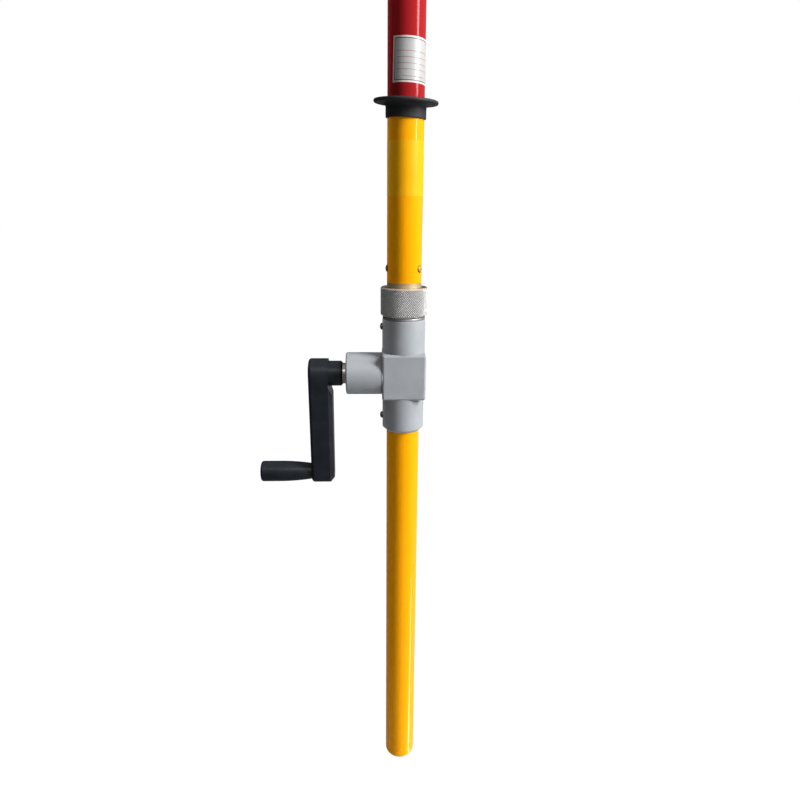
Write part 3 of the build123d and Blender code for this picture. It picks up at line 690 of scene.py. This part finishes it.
# rivets and screws, set out by node trees
def radialTree(name, source, finish):
    # copies of a fastener round the stick, its own +Z pointing outwards
    tree, given = startTree(name, {
        "Count": 3, "First": 0.0, "Step": 0.0, "Rise": 0.0, "Radius": 0.016, "Height": 0.5})
    index = tree.nodes.new("GeometryNodeInputIndex").outputs[0]
    angle = calc(tree, "ADD", given["First"], calc(tree, "MULTIPLY", index, given["Step"]))
    height = calc(tree, "ADD", given["Height"], calc(tree, "MULTIPLY", index, given["Rise"]))
    dots = geoNode(tree, "GeometryNodePoints", Count=given["Count"],
                   Position=polar(tree, given["Radius"], angle, height))
    info = tree.nodes.new("GeometryNodeObjectInfo")
    info.inputs["Object"].default_value = source
    copies = geoNode(tree, "GeometryNodeInstanceOnPoints", Points=dots.outputs[0], Instance=info.outputs["Geometry"],
                     Rotation=combine(tree, 0.0, math.pi / 2, angle))
    endTree(tree, [copies.outputs[0]], finish)
    return tree


def domeOutline(spec, steps=8, sunk=0.3):
    # from the middle of the head out over its crown, down the side and along the shank
    head, rise, hole = spec["head"], spec["rise"], spec["hole"]
    crown = rise - spec["edge"]
    ball = (head ** 2 + crown ** 2) / (2 * crown)
    points = [(0, rise - spec["holeDepth"]), (hole, rise - spec["holeDepth"])]
    for k in range(steps + 1):
        r = hole + (head - hole) * k / steps
        points.append((r, rise - ball + math.sqrt(ball ** 2 - r ** 2)))
    return points + [(head, -sunk), (spec["shank"], -sunk), (spec["shank"], -spec["length"]), (0, -spec["length"])]


rivet = {"count": 3, "first": -32.0, "step": 108.0, "head": 3.3, "rise": 1.5, "edge": 0.25, "hole": 0.9,
         "holeDepth": 0.7, "shank": 1.6, "length": 4.6}
rivetHead = lathe("rivetSource", domeOutline(rivet), segments=32)
rivetTree = radialTree("rivetRing", rivetHead, finishes["rivetBrass"])
for name, node in (("lowerRivets", "lower_rivets"), ("topRivets", "top_rivets")):
    low, high = boxMm(node)
    piece = emptyObject(name)
    growNodes(piece, rivetTree, {
        "Count": rivet["count"], "First": math.radians(rivet["first"]), "Step": math.radians(rivet["step"]),
        "Radius": tubeRadius * milli, "Height": (low[2] + high[2]) / 2 * milli})
    place(piece, "stick", "aluminium", node)
bpy.data.objects.remove(rivetHead)

screw = {"head": 3.2, "rise": 2.5, "edge": 1.2, "hole": 0.05, "holeDepth": 0.0, "shank": 1.75, "length": 6.5,
         "recess": 1.2, "recessDepth": 1.1, "blade": 0.75, "turns": (40, 130), "seat": 20.1}
screwHead = lathe("screwSource", domeOutline(screw), segments=40)
blade = (2 * screw["recess"], screw["blade"], 2 * screw["recessDepth"])
cutWith(screwHead, [boxObject("crossCutter", blade, (0, 0, screw["rise"]), turn) for turn in screw["turns"]])
low, high = boxMm("sleeve_screws")
span = high[2] - low[2] - 2 * screw["head"]
piece = emptyObject("sleeveScrews")
growNodes(piece, radialTree("screwPair", screwHead, finishes["blackScrew"]), {
    "Count": 2, "First": math.pi, "Step": 0.0, "Rise": span * milli, "Radius": screw["seat"] * milli,
    "Height": (low[2] + screw["head"]) * milli})
place(piece, "stick", "black_screw", "sleeve_screws")
bpy.data.objects.remove(screwHead)
print("stage: rivets and screws")

# labels: thin film wrapped on the tube
wrap = {"gap": 0.01, "thick": 0.1, "sharp": 40}


def wrapLabel(name, spec, finish):
    bm = bmesh.new()
    uvLayer = bm.loops.layers.uv.new("wrap")
    columns = spec["columns"]
    arc = math.radians(spec["to"] - spec["from"]) * tubeRadius
    middle = math.radians(spec["from"] + spec["to"]) / 2
    lean = math.tan(math.radians(spec["lean"]))  # stuck on a little askew
    layers = []
    for radius in (tubeRadius + wrap["gap"], tubeRadius + wrap["thick"]):
        grid = []
        for i in range(columns + 1):
            along = (i / columns - 0.5) * arc
            column = []
            for up in (spec["low"], spec["high"]):
                a = middle + (along + (up - (spec["low"] + spec["high"]) / 2) * lean) / tubeRadius
                spot = Vector((radius * math.cos(a), radius * math.sin(a), up - along * lean))
                column.append(bm.verts.new(spot * milli))
            grid.append(column)
        layers.append(grid)
    inner, outer = layers
    for i in range(columns):
        face = bm.faces.new([outer[i][0], outer[i + 1][0], outer[i + 1][1], outer[i][1]])
        for loop, (u, v) in zip(face.loops, ((i, 0), (i + 1, 0), (i + 1, 1), (i, 1))):
            loop[uvLayer].uv = (u / columns * arc / film["unit"], v * (spec["high"] - spec["low"]) / film["unit"])
        bm.faces.new([inner[i][0], inner[i][1], inner[i + 1][1], inner[i + 1][0]])
        for k in (0, 1):
            bm.faces.new([inner[i][k], inner[i + 1][k], outer[i + 1][k], outer[i][k]])
    for i in (0, columns):
        bm.faces.new([inner[i][0], inner[i][1], outer[i][1], outer[i][0]])
    piece = meshObject(bm, name, wrap["sharp"])
    return place(paint(piece, finish), "stick", spec["slot"])


noticeLabel = {"from": -268.0, "to": 85.0, "lean": 0.0, "low": crankZ + 162.7, "high": crankZ + 208.0,
               "columns": 120, "slot": "yellow_tube"}
wrapLabel("noticeLabel", noticeLabel, labelFinish("noticeFilm", {
    "colour": (0.95, 0.44, 0.003), "rough": 0.32, "gloss": 0.12}))
plateLabel = {"from": -135.5, "to": -0.5, "lean": 1.5, "low": crankZ + 251.8, "high": crankZ + 286.0,
              "columns": 60, "slot": "white_nylon"}
plateWide = math.radians(plateLabel["to"] - plateLabel["from"]) * tubeRadius
plateTall = plateLabel["high"] - plateLabel["low"]
wrapLabel("plateLabel", plateLabel, labelFinish("plateFilm", {
    "colour": (0.72, 0.69, 0.67), "field": (0.46, 0.46, 0.455), "ink": (0.05, 0.03, 0.03), "rule": (0.24, 0.05, 0.05),
    "rough": 0.35, "gloss": 0.4, "frame": (plateWide, plateTall, 1.7, 0.32), "ruleHalf": 0.16,
    "rules": [(plateTall - drop, 4, 34) for drop in (11.0, 15.5, 20.0, 24.5)] + [(4.6, 9, 29)],
}))
print("stage: labels")

# finishes of the CAD nodes that show as they are; the rest are steel
cadFinish = {
    "greyPaint": ["gearbox_housing"],
    "blackPlastic": ["crank_arm", "crank_handle"],
    "blackRubber": ["boss_seal"],
    "turnedX": ["shaft_collar", "bearing_carrier"],
    "warmAlloy": ["lower_ferrule"],
    "springSteel": ["boss_clip"],
    "bareFibre": ["tube_joiner", "drive_rod"],
    "nylon": ["ferrule_guide", "rod_guides"],
    "bronze": ["input_inner_bush", "input_outer_bush", "output_lower_bush", "output_upper_bush", "top_bush",
               "input_thrust_washer", "output_thrust_washer", "nut_slip_ring", "spindle_insert"],
}
nodeFinish = {node: finish for finish, nodes in cadFinish.items() for node in nodes}
for node, obj in cadNodes.items():
    paint(obj, nodeFinish.get(node, "steel"))
print("stage: CAD nodes finished")

# pale floor, seen as white and dim on the left where a shiny piece mirrors it
floor = {"height": -0.35, "size": 30.0, "rough": 0.9, "glow": (0.96, 1.0), "fade": (0.8, 3.0), "shade": 0.06,
         "bounce": 0.3, "mirrored": (0.08, 0.5), "reach": 0.6}
bm = bmesh.new()
bmesh.ops.create_grid(bm, x_segments=1, y_segments=1, size=floor["size"])
bmesh.ops.translate(bm, verts=bm.verts, vec=(0, 0, floor["height"]))
floorPiece = meshObject(bm, "floor")
mat, tree, shader = startFinish("paleFloor")
shader.inputs["Roughness"].default_value = floor["rough"]
shader.inputs["Specular IOR Level"].default_value = 0.0
away = tree.nodes.new("ShaderNodeVectorMath")
away.operation = "LENGTH"
tree.links.new(objectSpace(tree, (1, 1, 0)), away.inputs[0])
glow = tree.nodes.new("ShaderNodeEmission")
tree.links.new(mapValue(tree, away.outputs["Value"], *floor["glow"], floor["fade"]), glow.inputs["Strength"])
soft = tree.nodes.new("ShaderNodeBsdfDiffuse")
soft.inputs["Color"].default_value = (floor["shade"], floor["shade"], floor["shade"], 1)
both = tree.nodes.new("ShaderNodeAddShader")
tree.links.new(glow.outputs[0], both.inputs[0])
tree.links.new(soft.outputs[0], both.inputs[1])
rays = tree.nodes.new("ShaderNodeLightPath")
matt = calc(tree, "SUBTRACT", 1.0, rays.outputs["Is Glossy Ray"])
tree.links.new(mapValue(tree, matt, 0.0, floor["bounce"]), shader.inputs["Base Color"])
across = splitVector(tree, objectSpace(tree, even))[0]
mirrored = mapValue(tree, across, *floor["mirrored"], (-floor["reach"], floor["reach"]))
seen = calc(tree, "MAXIMUM", rays.outputs["Is Camera Ray"], rays.outputs["Is Transmission Ray"])
seen = calc(tree, "MAXIMUM", seen, calc(tree, "MULTIPLY", rays.outputs["Is Glossy Ray"], mirrored))
pick = tree.nodes.new("ShaderNodeMixShader")
tree.links.new(seen, pick.inputs[0])
tree.links.new(shader.outputs[0], pick.inputs[1])
tree.links.new(both.outputs[0], pick.inputs[2])
tree.links.new(pick.outputs[0], tree.nodes["Material Output"].inputs["Surface"])
floorPiece.data.materials.append(mat)

# white surround; levels run from its left to its right, as matt and as shiny things see it
surround = {"soft": (0.08, 0.32), "mirrored": (0.08, 0.85), "dim": 2.5, "turn": 28, "above": 0.75,
            "ceiling": (0.55, 0.95)}
world = bpy.data.worlds.new("studio")
scene.world = world
world.use_nodes = True
tree = world.node_tree
coords = tree.nodes.new("ShaderNodeTexCoord")
x, y, z = splitVector(tree, coords.outputs["Generated"])
softLevel = mapValue(tree, calc(tree, "MULTIPLY_ADD", x, 0.5, 0.5), *surround["soft"])
swing = math.radians(surround["turn"])  # the bright side of the mirrored surround stands forward
sideways = calc(tree, "MULTIPLY", x, 0.5 * math.cos(swing))
forwards = calc(tree, "MULTIPLY", y, -0.5 * math.sin(swing))
facing = calc(tree, "ADD", calc(tree, "ADD", sideways, forwards), 0.5)
shinyLevel = mapValue(tree, calc(tree, "POWER", facing, surround["dim"]), *surround["mirrored"])
ceiling = mapValue(tree, z, 0.0, surround["above"], surround["ceiling"])
shinyLevel = calc(tree, "MAXIMUM", shinyLevel, ceiling)
rays = tree.nodes.new("ShaderNodeLightPath")
shiny = calc(tree, "MULTIPLY", rays.outputs["Is Glossy Ray"], calc(tree, "SUBTRACT", shinyLevel, softLevel))
level = calc(tree, "ADD", softLevel, shiny)
seen = calc(tree, "MAXIMUM", rays.outputs["Is Camera Ray"], rays.outputs["Is Transmission Ray"])
level = calc(tree, "ADD", level, calc(tree, "MULTIPLY", seen, calc(tree, "SUBTRACT", 1.0, level)))
ambient = tree.nodes["Background"]
ambient.inputs["Color"].default_value = (1, 1, 1, 1)
tree.links.new(level, ambient.inputs["Strength"])


def areaLight(name, spec):
    lamp = bpy.data.lights.new(name, "AREA")
    lamp.shape = "RECTANGLE"
    lamp.size, lamp.size_y = spec["size"]
    lamp.energy = spec["power"]
    obj = linkObject(name, lamp)
    azimuth, rise = math.radians(spec["azimuth"]), math.radians(spec["rise"])
    target = Vector((0, 0, spec["aim"] * milli))
    away = Vector((math.sin(azimuth) * math.cos(rise), -math.cos(azimuth) * math.cos(rise), math.sin(rise)))
    obj.location = target + away * spec["distance"]
    obj.rotation_euler = (-away).to_track_quat("-Z", "Y").to_euler()
    obj.visible_diffuse = not spec.get("gleamOnly", False)
    obj.visible_glossy = not spec.get("softOnly", False)


# soft studio light, mostly from the right; azimuth is counted from the camera's side towards the right
lamps = {
    "keyPanel": {"azimuth": 64, "rise": 34, "distance": 3.6, "size": (0.9, 1.9), "power": 232, "aim": crankZ},
    "backPanel": {"azimuth": 225, "rise": 25, "distance": 2.4, "size": (1.4, 1.4), "power": 26, "aim": crankZ,
                  "softOnly": True},
    "upperGleam": {"azimuth": 68, "rise": 20, "distance": 1.8, "size": (0.4, 1.0), "power": 24, "aim": crankZ + 200,
                   "gleamOnly": True},
    "lowerGleam": {"azimuth": 84, "rise": -41, "distance": 0.44, "size": (0.06, 0.36), "power": 0.7, "aim": 75},
    "lowPanel": {"azimuth": 15, "rise": -35, "distance": 0.5, "size": (0.3, 0.3), "power": 0.45, "aim": 130,
                 "softOnly": True},
    "topGleam": {"azimuth": 4, "rise": 43, "distance": 2.4, "size": (1.4, 0.35), "power": 13, "aim": crankZ,
                 "gleamOnly": True},
}
for name, spec in lamps.items():
    areaLight(name, spec)
print("stage: floor, surround and lights")

# camera where the photograph was taken from, in mm, degrees and pixels
view = {"focal": 610.0, "image": 800.0, "sensor": 36.0, "near": 0.01, "distance": 574.0, "rise": 147.7,
        "pitch": 16.96, "roll": 0.51, "turn": 2.5, "aside": 0.287}
lens = bpy.data.cameras.new("camera")
lens.sensor_width = view["sensor"]
lens.lens = view["focal"] / view["image"] * lens.sensor_width
lens.clip_start = view["near"]
camera = linkObject("camera", lens)
around = math.radians(view["turn"])
back = view["distance"]
spot = Vector((-math.sin(around) * back, -math.cos(around) * back, crankZ + view["rise"])) * milli
heading = Matrix.Rotation(math.radians(view["aside"]) - around, 4, "Z")
tilt = Matrix.Rotation(math.radians(90 - view["pitch"]), 4, "X")
roll = Matrix.Rotation(math.radians(view["roll"]), 4, "Z")
camera.matrix_world = Matrix.Translation(spot) @ heading @ tilt @ roll
scene.camera = camera
print("stage: camera")
